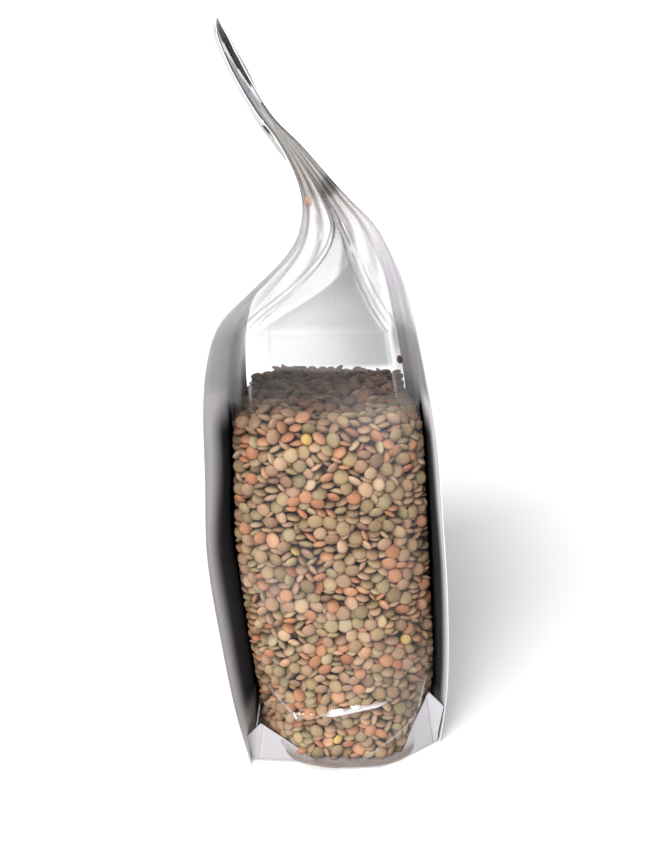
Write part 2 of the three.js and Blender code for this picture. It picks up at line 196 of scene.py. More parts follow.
def place_in_scene(name, data):
    piece = bpy.data.objects.new(name, data)
    bpy.context.scene.collection.objects.link(piece)
    return piece


def smooth_shaded(piece, angle=50):
    only(piece)
    bpy.ops.object.shade_smooth_by_angle(angle=math.radians(angle))


def new_material(name):
    """A new material, its node tree and its Principled shader."""
    material = bpy.data.materials.new(name)
    material.use_nodes = True
    tree = material.node_tree
    return material, tree, tree.nodes["Principled BSDF"]


def add_node(tree, kind, **settings):
    node = tree.nodes.new(kind)
    for key, value in settings.items():
        if key in node.inputs:
            node.inputs[key].default_value = value
        else:
            setattr(node, key, value)
    return node


def feed(tree, socket, value):
    """Gives a socket a number or a colour, or links it to another node's output."""
    if isinstance(value, bpy.types.NodeSocket):
        tree.links.new(value, socket)
    else:
        socket.default_value = value


def math_node(tree, operation, *values, clamp=False):
    node = add_node(tree, "ShaderNodeMath", operation=operation, use_clamp=clamp)
    for socket, value in zip(node.inputs, values):
        feed(tree, socket, value)
    return node.outputs["Value"]


def blend_node(tree, share, first, second, blend_type="MIX"):
    """Blends the second colour into the first by a share."""
    node = add_node(tree, "ShaderNodeMix", data_type="RGBA", blend_type=blend_type)
    feed(tree, node.inputs["Factor"], share)
    feed(tree, node.inputs["A"], first)
    feed(tree, node.inputs["B"], second)
    return node.outputs["Result"]


def stored_value(tree, name):
    """What give_values stored on the mesh under this name."""
    return add_node(tree, "ShaderNodeAttribute", attribute_name=name).outputs["Fac"]


def noise_node(tree, scale, detail=3.0, roughness=0.5, stretch=(1, 1, 1)):
    """Noise on the piece's own place, with scale in turns for each metre."""
    place = add_node(tree, "ShaderNodeTexCoord")
    mapping = add_node(tree, "ShaderNodeMapping")
    mapping.inputs["Scale"].default_value = stretch
    pattern = add_node(tree, "ShaderNodeTexNoise", Scale=scale, Detail=detail, Roughness=roughness)
    tree.links.new(place.outputs["Object"], mapping.inputs["Vector"])
    tree.links.new(mapping.outputs["Vector"], pattern.inputs["Vector"])
    return pattern


def ramp_node(tree, source, *stops):
    """Colours between the stops' places, each stop a place and a colour or a grey."""
    ramp = add_node(tree, "ShaderNodeValToRGB")
    while len(ramp.color_ramp.elements) < len(stops):
        ramp.color_ramp.elements.new(0.5)
    for element, (place, colour) in zip(ramp.color_ramp.elements, stops):
        element.position = place
        element.color = (*colour, 1) if isinstance(colour, tuple) else (colour, colour, colour, 1)
    tree.links.new(source, ramp.inputs["Fac"])
    return ramp.outputs["Color"]


def share_along(tree, axis, low, high):
    """A place's share of the way from low to high along an axis of the bag, in millimetres."""
    place = add_node(tree, "ShaderNodeTexCoord")
    split = add_node(tree, "ShaderNodeSeparateXYZ")
    share = add_node(tree, "ShaderNodeMapRange")
    share.inputs["From Min"].default_value = low * MM
    share.inputs["From Max"].default_value = high * MM
    tree.links.new(place.outputs["Object"], split.inputs["Vector"])
    tree.links.new(split.outputs[axis], share.inputs["Value"])
    return share.outputs["Result"]


def bump_node(tree, pattern, shader, strength, distance):
    bump = add_node(tree, "ShaderNodeBump", Strength=strength, Distance=distance * MM)
    tree.links.new(pattern.outputs["Fac"], bump.inputs["Height"])
    tree.links.new(bump.outputs["Normal"], shader.inputs["Normal"])


def panel_material(name, stops, low, high, roughness):
    """White film: a slow change of tone, a fine mottle in the gloss and the film's faint waves."""
    material, tree, shader = new_material(name)
    tone = ramp_node(tree, share_along(tree, "Z", low, high), *stops)
    mottle = noise_node(tree, 60, detail=4)
    mottled = blend_node(tree, 0.06, tone, mottle.outputs["Color"], "MULTIPLY")
    feed(tree, shader.inputs["Base Color"], mottled)
    gloss = ramp_node(tree, mottle.outputs["Fac"], (0.3, roughness - 0.06), (0.7, roughness + 0.08))
    feed(tree, shader.inputs["Roughness"], gloss)
    shader.inputs["Coat Weight"].default_value = 0.15
    shader.inputs["Coat Roughness"].default_value = 0.25
    bump_node(tree, noise_node(tree, 240, detail=5), shader, 0.25, 0.12)
    return material


outer_tones = ((0, (0.86, 0.86, 0.87)), (1, (0.84, 0.84, 0.85)))
outer_finish = panel_material("panel_outer_film", outer_tones, 0, HEIGHT, 0.34)
# The inner face is a little darker high in the header
inner_tones = (
    (0, (0.86, 0.85, 0.88)), (0.9, (0.8, 0.79, 0.82)), (0.935, (0.72, 0.72, 0.71)), (1, (0.78, 0.78, 0.77)),
)
inner_finish = panel_material("panel_inner_film", inner_tones, 0, HEIGHT, 0.55)
# Inside, the crevice beside the fill, where little light reaches, is painted dark as shade
tree = inner_finish.node_tree
shader = tree.nodes["Principled BSDF"]
shader.inputs["Coat Weight"].default_value = 0
shader.inputs["Specular IOR Level"].default_value = 0.0
shaded = stored_value(tree, "shaded")
lit_colour = shader.inputs["Base Color"].links[0].from_socket
crevice_painted_shade = (0.008, 0.007, 0.008, 1)
feed(tree, shader.inputs["Base Color"], blend_node(tree, shaded, lit_colour, crevice_painted_shade))
feed(tree, shader.inputs["Roughness"], ramp_node(tree, shaded, (0.0, 0.55), (0.5, 1.0)))
shader.inputs["Normal"].links[0].from_node.inputs["Strength"].default_value = 0.08

# Painted glow: emission stands in for daylight shining through the white film above the fill
painted_daylight_glow = ramp_node(
    tree, share_along(tree, "Z", 0, HEIGHT), (0.52, 0.0), (0.62, (0.1, 0.095, 0.105)),
    (0.74, (0.22, 0.21, 0.23)), (0.83, (0.12, 0.115, 0.12)), (0.9, 0.0),
)
feed(tree, shader.inputs["Emission Color"], painted_daylight_glow)
shader.inputs["Emission Strength"].default_value = 1.0

# Where the panels are creased at the shoulder: (height at the edge, place across, lean, depth)
SHOULDER_CREASES = (
    (192, -26, 0.35, 0.5), (201, 18, -0.3, 0.45), (186, 30, 0.2, 0.4), (210, -8, -0.15, 0.35),
)
CRIMP_START = 280.5
CRIMP_PITCH = 1.6
CRIMP_DEPTH = 0.12


def panel_relief(panel, y, height):
    """The weld line behind the fin, bumps where lentils press, shoulder creases and the crimped top."""
    inside = panel_half_width(panel, height) - abs(y)
    relief = -0.3 * bell(inside - FIN_DEPTH, 0.9) * smooth(8, 20, height) * smooth(250, 235, height)
    pressed = smooth(FIN_DEPTH, FIN_DEPTH + 6, inside) * smooth(4, 16, height) * smooth(158, 146, height)
    relief += 0.5 * pressed * noise.noise(Vector((y / 5.5, height / 4.8, panel * 7)))
    relief += 0.7 * smooth(0, 20, inside) * noise.noise(Vector((y / 34, height / 42, panel * 3)))
    for foot, across, lean, depth in SHOULDER_CREASES:
        along = (y - across) * panel
        relief -= depth * bell(height - foot - lean * along, 1.6) * bell(along, 17)
    crimp = smooth(CRIMP_START, CRIMP_START + 1, height)
    return relief + CRIMP_DEPTH * crimp * math.sin(height * 2 * math.pi / CRIMP_PITCH)


def give_values(sheet, name, values):
    """Stores one value for each of a sheet's points, for its material to read."""
    layer = sheet.data.attributes.new(name, "FLOAT", "POINT")
    layer.data.foreach_set("value", np.array(values, dtype=np.float32))


# How far in from its edge each panel's inner face stays lit beside the fill before its painted shade begins,
# and how much farther higher up
LIT_MARGIN = {FRONT: 4.0, BACK: 2.5}
LIT_HIGHER = 2.5
DEEPEST_SHADE = 0.97
SHADE_ABOVE_FILL = 0.25


def make_panel(panel, name):
    shades = []

    def form(across, up):
        height = HEIGHT * up
        y = panel_half_width(panel, height) * math.sin((across - 0.5) * math.pi)
        inside = panel_half_width(panel, height) - abs(y)
        # Painted shade: near-black in the crevice beside the fill, and light grey on the inner face above it
        lit = LIT_MARGIN[panel] + LIT_HIGHER * smooth(90, 150, height)
        beside_fill = smooth(lit, lit + 7, inside) * smooth(2, 28, height) * smooth(168, 148, height)
        above_fill = smooth(2, 15, inside) * smooth(150, 165, height) * smooth(222, 200, height)
        shades.append(max(DEEPEST_SHADE * beside_fill, SHADE_ABOVE_FILL * above_fill))
        # The two panels touch at the header's top, each with its own half of the join
        return panel_x(panel, y, height) + panel * panel_relief(panel, y, height), y, height

    sheet = formed_sheet(f"{name}_film", 90, 260, form)
    give_values(sheet, "shaded", shades)
    thicken(sheet, PANEL_FILM)
    smooth_shaded(sheet)
    sheet.data.materials.append(outer_finish)
    sheet.data.materials.append(inner_finish)
    for face in sheet.data.polygons:
        # The crevice's painted shade is on the inner face alone
        looks_in = face.normal.x * panel < -0.3
        face.material_index = 1 if looks_in else 0
    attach(sheet, "root")
    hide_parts(name)


make_panel(FRONT, "front_panel")
make_panel(BACK, "back_panel")

# The closing band
# A stiff pale strip stuck along the outside of the front panel's header, which the header folds round.
# Its lower end is a cut edge, drawn with a dark line at its near corner.

BAND_FOOT = 254.0
BAND_THICKNESS = 0.9

band_material, tree, shader = new_material("band_pale_strip")
streaks = noise_node(tree, 300, detail=4, stretch=(1, 0.04, 1))
tones = ramp_node(tree, streaks.outputs["Fac"], (0.3, (0.5, 0.5, 0.51)), (0.7, (0.6, 0.6, 0.61)))
edge_line = ramp_node(tree, share_along(tree, "Z", BAND_FOOT, BAND_FOOT + 6), (0.28, 0.06), (0.34, 1.0))
near_corner = share_along(tree, "Y", -43, -45)
feed(tree, shader.inputs["Base Color"], blend_node(tree, near_corner, tones, edge_line, "MULTIPLY"))
shader.inputs["Roughness"].default_value = 0.38
bump_node(tree, streaks, shader, 0.3, 0.1)


def band_form(across, up):
    height = mix(BAND_FOOT, HEIGHT - 2, up)
    y = mix(-HALF_WIDTH, HALF_WIDTH, across)
    outside = (PANEL_FILM + BAND_THICKNESS) / 2 + 0.04
    return panel_x(FRONT, y, height) - panel_relief(FRONT, y, height) - outside, y, height


band = formed_sheet("header_band_strip", 60, 40, band_form)
thicken(band, BAND_THICKNESS)
only(band)
rounding = band.modifiers.new("rounded edges", "BEVEL")
rounding.width = 0.12 * MM
rounding.segments = 2
rounding.limit_method = "ANGLE"
bpy.ops.object.modifier_apply(modifier=rounding.name)
smooth_shaded(band)
band.data.materials.append(band_material)
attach(band, "root")
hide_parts("header_band")

# The base
# A flat bottom of white film, folded like a parcel: its four corners turn up inside the panels as
# creased triangular flaps, two on each clear side.

BASE_THICKNESS = 0.8
FLAP_THICKNESS = 0.5
BASE_OUTLINE = ((-31.8, 47.5), (-5.7, 49), (8.7, 52.5), (24, 51.5), (33, 48), (51.7, 36.6))
# Each flap's raised tip, its outer floor corner and its inner floor corner, on one side
FLAPS = (
    ((-28.5, 42, 15), (-31.6, 47, 0.3), (-3, 48.7, 0.3)),
    ((46, 39, 29), (51.3, 36.5, 0.3), (33, 47.6, 0.3)),
)

# The base's white film is painted grey as shade, greyer than the panels', darkest at the floor and a little
# lighter up the flaps
base_painted_shade_tones = ((0, (0.5, 0.485, 0.505)), (1, (0.58, 0.565, 0.59)))
base_painted_shade_finish = panel_material("base_film_painted_shade", base_painted_shade_tones, 0, 30, 0.45)


def make_flap(number, side, tip, outer, inner):
    """A turned-up corner: a bowed triangle, and past its pressed outer edge a narrow web to the panel."""
    panel = FRONT if tip[0] < 0 else BACK
    web_y = min(tip[1] + 3, panel_half_width(panel, tip[2]) - 0.5)
    web = Vector((panel_x(panel, web_y, tip[2]) - panel * 0.5, side * web_y, tip[2] - 5))
    tip, outer, inner = (Vector((x, side * y, z)) for x, y, z in (tip, outer, inner))
    normal = (outer - tip).cross(inner - tip).normalized()
    normal = normal if normal.y * side > 0 else -normal
    web_share = 0.2
    web_foot = 0.03

    def form(across, up):
        if across < web_share:
            share = across / web_share
            foot = outer.lerp(inner, web_foot * share)
            return foot.lerp(web.lerp(tip, share), up) - normal * FLAP_THICKNESS / 2
        share = (across - web_share) / (1 - web_share)
        place = outer.lerp(inner, mix(web_foot, 1, share)).lerp(tip, up * 0.99)
        width = share * (1 - up)
        bow = 0.5 * math.sin(math.pi * min(width * 1.2, 1)) * math.sin(math.pi * up)
        fold = 0.4 * bell(width - 0.05, 0.02)
        return place - normal * (FLAP_THICKNESS / 2 + bow + fold)

    flap = formed_sheet(f"base_flap_{number}", 50, 30, form)
    only(flap)
    edit_all(bpy.ops.mesh.remove_doubles, threshold=0.02 * MM)
    thicken(flap, FLAP_THICKNESS)
    smooth_shaded(flap, 30)
    flap.data.materials.append(base_painted_shade_finish)
    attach(flap, "root")


bpy.ops.object.select_all(action="DESELECT")
bpy.ops.mesh.primitive_circle_add(vertices=2 * len(BASE_OUTLINE), fill_type="NGON")
base = bpy.context.active_object
base.name = base.data.name = "bottom_panel_film"
outline = [(x, -y) for x, y in BASE_OUTLINE] + [(x, y) for x, y in reversed(BASE_OUTLINE)]
for vertex, (x, y) in zip(base.data.vertices, outline):
    vertex.co = bag_point(x, y, 0)
edit_all(bpy.ops.mesh.normals_make_consistent, inside=False)
edit_all(bpy.ops.mesh.extrude_region_move, TRANSFORM_OT_translate={"value": (0, 0, BASE_THICKNESS * MM)})
edit_all(bpy.ops.mesh.bevel, offset=0.25 * MM, segments=2)
face_outwards(base)
smooth_shaded(base, 35)
base.data.materials.append(base_painted_shade_finish)
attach(base, "root")
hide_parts("bottom_panel")
flap_number = 0
for side in (-1, 1):
    for tip, outer, inner in FLAPS:
        flap_number += 1
        make_flap(flap_number, side, tip, outer, inner)

# The lentils' core
# What lies deep in the heap: a dark mass of painted shade in place of the lentils deeper in, which only
# shows as darkness between the lentils outside it.
# It follows the fill's own form, a little more than a lentil's width inside it.

FILL_HEIGHT = 156.0
WALL_GAP = 1.1
CORE_DEPTH = 8.0
CORE_SIDE_GAP = 1.6
CORE_LUMP = 1.6
LUMP_SPREAD = 4.2
FALL_POWER = 3.4
fill_depth = curve_through(
    (0, 47), (4, 50.5), (10, 51.4), (35, 49.8), (80, 48.4), (125, 48.6), (148, 48), (156, 45.5),
)
corner_fall = curve_through((0, 0.54), (12, 0.47), (35, 0.31), (60, 0.24), (156, 0.22))


def fill_reach(across, height):
    """How far the fill reaches from the bag's middle to a clear side, with across from -1 to 1."""
    return fill_depth(height) * (1 - corner_fall(height) * abs(across) ** FALL_POWER)


def wall_x(panel, y, height):
    """Where what the bag holds stops short of a panel."""
    return panel_x(panel, y, height, turn=(0.0, FIN_DEPTH)) - panel * (0.25 + WALL_GAP)


bpy.ops.object.select_all(action="DESELECT")
bpy.ops.mesh.primitive_cube_add(size=2)
core = bpy.context.active_object
core.name = core.data.name = "lentil_core"
edit_all(bpy.ops.mesh.subdivide, number_cuts=30)
for vertex in core.data.vertices:
    across, deep, up = vertex.co
    height = mix(1.5, FILL_HEIGHT - 0.75 * CORE_DEPTH, (up + 1) / 2)
    y = deep * (fill_reach(across, height) - CORE_DEPTH)
    left, right = wall_x(FRONT, y, height) + CORE_SIDE_GAP, wall_x(BACK, y, height) - CORE_SIDE_GAP
    x = mix(left, right, (across + 1) / 2)
    lump = CORE_LUMP * noise.noise(Vector((x, y, height)) / LUMP_SPREAD)
    vertex.co = bag_point(x, y * (1 + lump / CORE_DEPTH / 6), height + lump * smooth(0.6, 1, up))
smooth_shaded(core)

core_shade_material, tree, shader = new_material("lentil_depths_painted_shade")
grain = noise_node(tree, 420, detail=4)
painted_depth_shade = ramp_node(tree, grain.outputs["Fac"], (0.35, (0.03, 0.02, 0.014)), (0.7, (0.1, 0.066, 0.042)))
feed(tree, shader.inputs["Base Color"], painted_depth_shade)
shader.inputs["Roughness"].default_value = 0.8
bump_node(tree, grain, shader, 0.6, 0.8)
core.data.materials.append(core_shade_material)
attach(core, "root")
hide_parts("lentils")

# The lentils
# Whole dry lentils about 6 mm across and half as thick, brown or tan, some greener or redder, with a few
# split yellow ones. They settle by a seeded rule against the clear sides and over the top, and hardly cross.

LENTIL_DIAMETER = 6.2
LENTIL_THICKNESS = 2.7
SHELL_DEPTH = 8.5
PACKING = 0.9
FLAT_SHARE = 0.3
SETTLING_PASSES = 64
PASSES_BETWEEN_SEARCHES = 4
LARGEST_PUSH = 1.2
EASE = 0.7
SETTLE_RANGE = 2.4
SETTLE_PULL = 0.12
SPLIT_FROM = 0.994
SPLIT_SIZE = 0.78
draw = np.random.default_rng(61)

table_heights = np.linspace(0, FILL_HEIGHT, 79).tolist()
front_wall = [wall_x(FRONT, fill_reach(1, h), h) for h in table_heights]
back_wall = [wall_x(BACK, fill_reach(1, h), h) for h in table_heights]


def fill_frame(points):
    """For many places: the two walls, the share across, and how far the fill reaches there."""
    height = np.clip(points[:, 2], 0, FILL_HEIGHT)
    left = np.interp(height, table_heights, front_wall)
    right = np.interp(height, table_heights, back_wall)
    across = np.clip(2 * (points[:, 0] - left) / (right - left) - 1, -1.1, 1.1)
    reach = fill_depth(height) * (1 - corner_fall(height) * np.abs(across) ** FALL_POWER)
    return left, right, reach


def top_height(points):
    """The heap's top: slightly domed, lower towards its rim, and uneven."""
    x, y = points[:, 0], points[:, 1]
    dome = 2.6 * (1 - np.clip(np.abs(y) / 46, 0, 1) ** 4) - 6.0 * np.clip(np.abs(x - 2) / 40, 0, 1) ** 3
    waves = 1.1 * np.sin(x / 9.0 + 1.1) * np.cos(y / 12.0) + 0.8 * np.sin(x / 4.1 + y / 6.3)
    return FILL_HEIGHT + 1.2 + dome + waves


def gaps(points):
    """Each place's distance inside the near side, far side, front wall, back wall, floor and top."""
    left, right, reach = fill_frame(points)
    return np.stack([
        points[:, 1] + reach, reach - points[:, 1], points[:, 0] - left, right - points[:, 0],
        points[:, 2] - 1.3, top_height(points) - points[:, 2],
    ], axis=1)


def outward(points):
    """The direction that points out of the fill at each of the same six faces."""
    step = 0.4
    directions = np.zeros((len(points), 6, 3))
    here = gaps(points)
    for axis in range(3):
        moved = points.copy()
        moved[:, axis] += step
        directions[:, :, axis] = (here - gaps(moved)) / step
    length = np.linalg.norm(directions, axis=2, keepdims=True)
    return directions / length, length[:, :, 0]


def scatter_places(count):
    """Random places in the fill's outer shell, on its clear sides and its top."""
    found = []
    while sum(len(f) for f in found) < count:
        trial = draw.uniform((-48, -52, 1), (52, 52, FILL_HEIGHT + 4), (4000, 3))
        inside = gaps(trial)
        depth = np.minimum(inside[:, :2].min(axis=1), inside[:, 5])
        found.append(trial[(inside.min(axis=1) > 0) & (depth < SHELL_DEPTH)])
    return np.concatenate(found)[:count]


def unit(vectors):
    return vectors / np.linalg.norm(vectors, axis=1, keepdims=True)


LENTIL_COUNT = 4300
places = scatter_places(LENTIL_COUNT)
size = draw.normal(1.0, 0.075, LENTIL_COUNT).clip(0.82, 1.18)
radius = LENTIL_DIAMETER / 2 * size
half_thick = LENTIL_THICKNESS / 2 * size * draw.uniform(0.85, 1.12, LENTIL_COUNT)

# Some of the lentils lie flat against the film, and most of the others lie level or lean a little
inside = gaps(places)
near_top = inside[:, 5] < inside[:, :2].min(axis=1)
side_facing = np.where(places[:, 1:2] < 0, (0, -1, 0), (0, 1, 0))
level = np.tile((0.0, 0.0, 1.0), (LENTIL_COUNT, 1))
lies_flat = (draw.random(LENTIL_COUNT) < FLAT_SHARE) & ~near_top
facing = np.where(lies_flat[:, None], side_facing, level)
scatter = draw.normal(0, 1, (LENTIL_COUNT, 3)) * np.where(lies_flat, 0.34, 0.5)[:, None]
facing = unit(facing + scatter)


def support(direction, who):
    """How far a lentil reaches from its middle along a direction."""
    along = (direction * facing[who]).sum(axis=1) ** 2
    return np.sqrt(radius[who] ** 2 * (1 - along) + half_thick[who] ** 2 * along)


everyone = np.arange(LENTIL_COUNT)
perch = draw.normal(0, 1.0, LENTIL_COUNT).clip(-1.6, 1.9)
for pass_number in range(SETTLING_PASSES):
    if pass_number % PASSES_BETWEEN_SEARCHES == 0:
        tree_of_places = kdtree.KDTree(LENTIL_COUNT)
        for i, place in enumerate(places):
            tree_of_places.insert(place, i)
        tree_of_places.balance()
        pairs = [
            (i, j) for i, place in enumerate(places)
            for _, j, _ in tree_of_places.find_range(place, LENTIL_DIAMETER * 1.12) if j > i
        ]
        first, second = np.array(pairs).T
    apart = places[second] - places[first]
    distance = np.linalg.norm(apart, axis=1) + 1e-6
    direction = apart / distance[:, None]
    overlap = PACKING * (support(direction, first) + support(direction, second)) - distance
    push = np.clip(overlap, 0, LARGEST_PUSH)[:, None] * direction * 0.5
    move = np.zeros_like(places)
    np.add.at(move, first, -push)
    np.add.at(move, second, push)
    places = places + EASE * move
    # Those near a clear side or the top settle against it, and none crosses a face
    directions, steepness = outward(places)
    here = gaps(places) / steepness
    for face in range(6):
        reach = support(directions[:, face], everyone)
        slack = here[:, face] - reach + (perch if face == 5 else 0)
        settle = SETTLE_PULL if face in (0, 1, 5) else 0.0
        pull = np.where(slack < 0, slack, np.where(slack < SETTLE_RANGE, settle * slack, 0))
        places = places + directions[:, face] * pull[:, None]

# Each kind's share, and its shades from dark to pale
KINDS = {
    "brown_lentils": (
        0.39, ((0.22, 0.118, 0.068), (0.38, 0.227, 0.138), (0.48, 0.299, 0.185), (0.61, 0.411, 0.264)),
    ),
    "tan_lentils": (
        0.275, ((0.2, 0.126, 0.063), (0.355, 0.239, 0.127), (0.455, 0.314, 0.17), (0.588, 0.428, 0.248)),
    ),
    "green_lentils": (
        0.14, ((0.22, 0.163, 0.088), (0.33, 0.248, 0.13), (0.4, 0.308, 0.166), (0.5, 0.4, 0.24)),
    ),
    "russet_lentils": (
        0.189, ((0.33, 0.132, 0.063), (0.48, 0.21, 0.106), (0.575, 0.28, 0.148), (0.65, 0.37, 0.22)),
    ),
    "yellow_lentils": (
        0.006, ((0.52, 0.34, 0.09), (0.6, 0.4, 0.12), (0.66, 0.46, 0.15), (0.68, 0.48, 0.17)),
    ),
}
SHADE_PLACES = (0.12, 0.45, 0.75, 1.0)


def lentil_material(name, shades):
    """A dry seed coat: its own tone, a soft mottle, dark flecks and fine wrinkles, with painted shade in the
    heap.
    """
    material, tree, shader = new_material(name)
    mottle = noise_node(tree, 700, detail=3).outputs["Fac"]
    tone = math_node(tree, "MULTIPLY_ADD", mottle, 0.34, stored_value(tree, "tone"))
    coat = ramp_node(tree, tone, *zip(SHADE_PLACES, shades))
    flecks = ramp_node(tree, noise_node(tree, 2100, detail=2).outputs["Fac"], (0.6, 0.0), (0.72, 0.55))
    fleck_share = math_node(tree, "MULTIPLY", flecks, stored_value(tree, "speckled"))
    flecked = blend_node(tree, fleck_share, coat, (0.07, 0.055, 0.045, 1))
    darkened = blend_node(tree, stored_value(tree, "shaded"), flecked, (0.2, 0.155, 0.125, 1), "MULTIPLY")
    feed(tree, shader.inputs["Base Color"], darkened)
    shader.inputs["Roughness"].default_value = 0.46
    shader.inputs["Specular IOR Level"].default_value = 0.22
    bump_node(tree, noise_node(tree, 1500, detail=3), shader, 0.35, 0.12)
    return material


def model_lentil(kind):
    """One lentil to copy: two shallow domes that meet in a rim, or a single dome where it is split."""
    bpy.ops.object.select_all(action="DESELECT")
    bpy.ops.mesh.primitive_uv_sphere_add(segments=14, ring_count=4, radius=1)
    lentil = bpy.context.active_object
    points = np.array([v.co for v in lentil.data.vertices])
    points[:, 2] = np.sign(points[:, 2]) * np.abs(points[:, 2]) ** 1.45
    if kind == "yellow_lentils":
        points[:, 2] = np.where(points[:, 2] < 0, points[:, 2] * 0.25, points[:, 2])
    faces = [tuple(face.vertices) for face in lentil.data.polygons]
    bpy.data.objects.remove(lentil)
    return points, faces


chance = draw.random(LENTIL_COUNT)
radius = np.where(chance > SPLIT_FROM, radius * SPLIT_SIZE, radius)
tone_value = draw.normal(0.42, 0.2, LENTIL_COUNT).clip(0, 0.95)
speckle_value = (draw.random(LENTIL_COUNT) ** 3).clip(0, 1)
oval = draw.uniform(0.93, 1.07, LENTIL_COUNT)

# The heap's top is painted with the bag's own shade, all but its two rims
below_top = top_height(places) - places[:, 2]
rim = np.clip((46 - np.abs(places[:, 1])) / 13, 0, 1)
shade_reach = 13 - 8 * np.clip(places[:, 0] / 16, 0, 1)
shade_value = 0.9 * np.clip((shade_reach - below_top) / 6, 0, 1) * rim

# Stray lentils caught behind the film: place, the way each faces, size, what picks its kind, tone and
# painted shade
STRAYS = (
    ((-5.4, -46.9, 233.5), (0.88, -0.45, 0.1), 0.68, 0.9, 0.6, 0.0),
    ((27.3, -42.6, 179.0), (0.6, -0.7, 0.3), 0.5, 0.3, 0.0, 0.85),
)
for place, way, scale, pick, tone, shade in STRAYS:
    places = np.vstack((places, place))
    facing = np.vstack((facing, unit(np.array([way]))))
    radius = np.append(radius, LENTIL_DIAMETER / 2 * scale)
    half_thick = np.append(half_thick, LENTIL_THICKNESS / 2 * scale)
    chance = np.append(chance, pick)
    tone_value = np.append(tone_value, tone)
    shade_value = np.append(shade_value, shade)
    speckle_value = np.append(speckle_value, 0.0)
    oval = np.append(oval, 1.0)


def make_kind(kind, members):
    """Joins copies of one modelled lentil into one piece, each with its own place, turn, size and painted
    shade.
    """
    points, faces = model_lentil(kind)
    normal = facing[members]
    spin = draw.uniform(0, 2 * math.pi, len(members))
    helper = np.where(np.abs(normal[:, 2:3]) < 0.9, (0, 0, 1), (1, 0, 0))
    side = unit(np.cross(helper, normal))
    other = np.cross(normal, side)
    axis_a = side * np.cos(spin)[:, None] + other * np.sin(spin)[:, None]
    axis_b = np.cross(normal, axis_a)
    vertices = (
        places[members][:, None, :]
        + axis_a[:, None, :] * (points[None, :, 0:1] * (radius * oval)[members][:, None, None])
        + axis_b[:, None, :] * (points[None, :, 1:2] * (radius / oval)[members][:, None, None])
        + normal[:, None, :] * (points[None, :, 2:3] * half_thick[members][:, None, None])
    ).reshape(-1, 3)
    # Each point gets painted shade by how deep it lies in the heap, and beside the panels
    deep = gaps(vertices)[:, (0, 1, 5)].min(axis=1)
    beside = 0.5 * np.clip((vertices[:, 0] - 20) / 24, 0, 1)
    beside += 0.35 * np.clip((-28 - vertices[:, 0]) / 12, 0, 1)
    light = 1 - np.repeat(shade_value[members], len(points))
    light *= 1 - 0.92 * np.clip((deep - 0.8) / 3.6, 0, 1)
    vertex_shade = 1 - light * (1 - beside)
    vertices = vertices * MM + np.array(bag_shift)
    mesh = bpy.data.meshes.new(kind)
    all_faces = [tuple(v + i * len(points) for v in face) for i in range(len(members)) for face in faces]
    mesh.from_pydata(vertices.tolist(), [], all_faces)
    piece = place_in_scene(kind, mesh)
    give_values(piece, "tone", np.repeat(tone_value[members], len(points)))
    give_values(piece, "speckled", np.repeat(speckle_value[members], len(points)))
    give_values(piece, "shaded", vertex_shade)
    face_outwards(piece)
    mesh.polygons.foreach_set("use_smooth", [True] * len(mesh.polygons))
    mesh.materials.append(lentil_material(kind, KINDS[kind][1]))
    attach(piece, "root")


low = 0.0
for kind, (share, _) in KINDS.items():
    members = np.nonzero((chance >= low) & (chance < low + share))[0]
    low += share
    make_kind(kind, members)

# The clear gussets
# One sheet of clear film closes each narrow side. It is welded to the panels' edges and lies on the
# lentils. Above them it folds inwards like a gable, gathers in pleats at the neck, and ends in the header.

FOLD_SPAN = 0.76
FOLD_DEPTH = 29.0
FILM_TOP = 280.0
FIN_SHARE = 1.14
FOLDS_TOP = 60.0
film_reach_curve = curve_through(
    (0, 51.8), (3, 52.9), (10, 52.3), (35, 50.5), (80, 49.1), (125, 49.3), (148, 48.8), (162, 47.9),
    (189, 47.5), (226, 48.5), (264, 49.2), (FILM_TOP, 49.2),
)
film_fall = curve_through(
    (0, 0.52), (12, 0.46), (35, 0.3), (60, 0.24), (156, 0.22), (189, 0.16), (226, 0.03), (FILM_TOP, 0.02),
)

# Folds pressed in the film's foot: both ends as (front to back, height), lift, width and whiteness, the
# creases' own milkiness with painted highlights, strongest on the first fold and near the floor
BOTTOM_FOLDS = (
    ((-2, 27.5), (27, 34), 2.1, 1.5, 0.75),
    ((-16, 25), (-2, 27.5), 1.4, 1.2, 0.15),
    ((44, 40), (41, 22), 0.8, 0.9, 0.3),
    ((41, 22), (24, 11), 0.9, 0.9, 0.3),
    ((24, 11), (9, 1), 0.9, 1.0, 0.3),
    ((-24, 35), (-10, 24), 1.2, 1.2, 0.25),
    ((-25, 9), (-14, 6), 1.3, 1.0, 0.5),
    ((-8, 3.5), (8, 1.5), 1.2, 1.2, 0.6),
)

# Painted glints along the gable's creases, clear lines where the white room shows through, as (front to
# back, height) from end to end
PAINTED_GLINTS = (((9, 218.5), (19.4, 207)), ((-3, 229), (-1.5, 222)))
PAINTED_GLINT_WIDTH = 0.75

# Where the stray in the neck is caught, and a grey smudge beside it
CAUGHT_X, _, CAUGHT_HEIGHT = STRAYS[0][0]
SMUDGE_X, SMUDGE_HEIGHT = 1.2, 238.0


def along_line(x, height, start, end, low=-math.inf, high=math.inf):
    """A place's share of the way along a line, kept from low to high, and its distance from there."""
    (x0, z0), (x1, z1) = start, end
    along_x, along_z = x1 - x0, z1 - z0
    t = ((x - x0) * along_x + (height - z0) * along_z) / (along_x**2 + along_z**2)
    t = max(low, min(high, t))
    return t, math.hypot(x - x0 - along_x * t, height - z0 - along_z * t)


